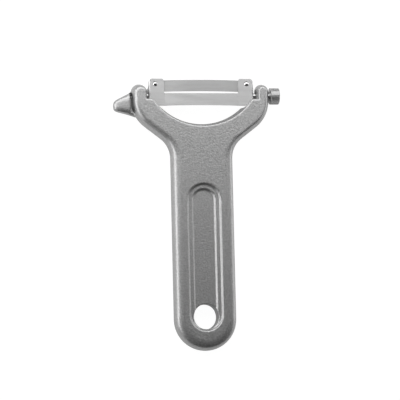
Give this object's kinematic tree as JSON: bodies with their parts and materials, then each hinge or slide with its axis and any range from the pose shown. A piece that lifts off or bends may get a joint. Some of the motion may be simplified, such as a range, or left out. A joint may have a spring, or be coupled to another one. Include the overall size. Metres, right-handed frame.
{
  "type": "potato peeler",
  "caption": "Cast Y-shaped potato peeler with a swinging slotted blade unit on a screwed rod, a knurled thumb knob, a pointed eye gouger and a hanging hole.",
  "frame": {"origin": "on the axis of the hanging hole, at half the casting's thickness", "axes": "+Y from the hanging hole to the blade along the grip, +X to the knurled knob, +Z out of the front face"},
  "size_m": [0.0823, 0.1328, 0.01],
  "materials": {
    "cast_handle": "satin silver-grey lacquer on cast aluminium with a fine sandy grain",
    "stamped_steel": "stamped stainless sheet, satin",
    "blade_steel": "rolled stainless strip with a ground edge",
    "rivet_steel": "bright domed rivet",
    "rod_steel": "bright turned rod",
    "knob_metal": "nickel-plated, straight knurl"
  },
  "bodies": {
    "handle": {"handle": "cast_handle"},
    "blade_unit": {"blade_carrier": "stamped_steel", "cutting_blade": "blade_steel", "rivet_left": "rivet_steel", "rivet_right": "rivet_steel"},
    "rod": {"pivot_rod": "rod_steel"},
    "knob": {"knurled_knob": "knob_metal"}
  },
  "joints": [
    {"name": "blade_swing", "type": "hinge", "parent": "handle", "child": "blade_unit", "pos_m": [0, 0.1081, 0], "axis": [1, 0, 0], "range_deg": [0, 35]},
    {"name": "rod_travel", "type": "slide", "parent": "handle", "child": "rod", "axis": [1, 0, 0], "range_m": [0, 0.0025]},
    {"name": "knob_turn", "type": "hinge", "parent": "rod", "child": "knob", "pos_m": [0.0385, 0.1081, 0], "axis": [1, 0, 0], "range_deg": [0, 1800]}
  ],
  "couplings": [
    {"joint": "knob_turn", "follows": "rod_travel", "rad_per_m": 12566}
  ]
}
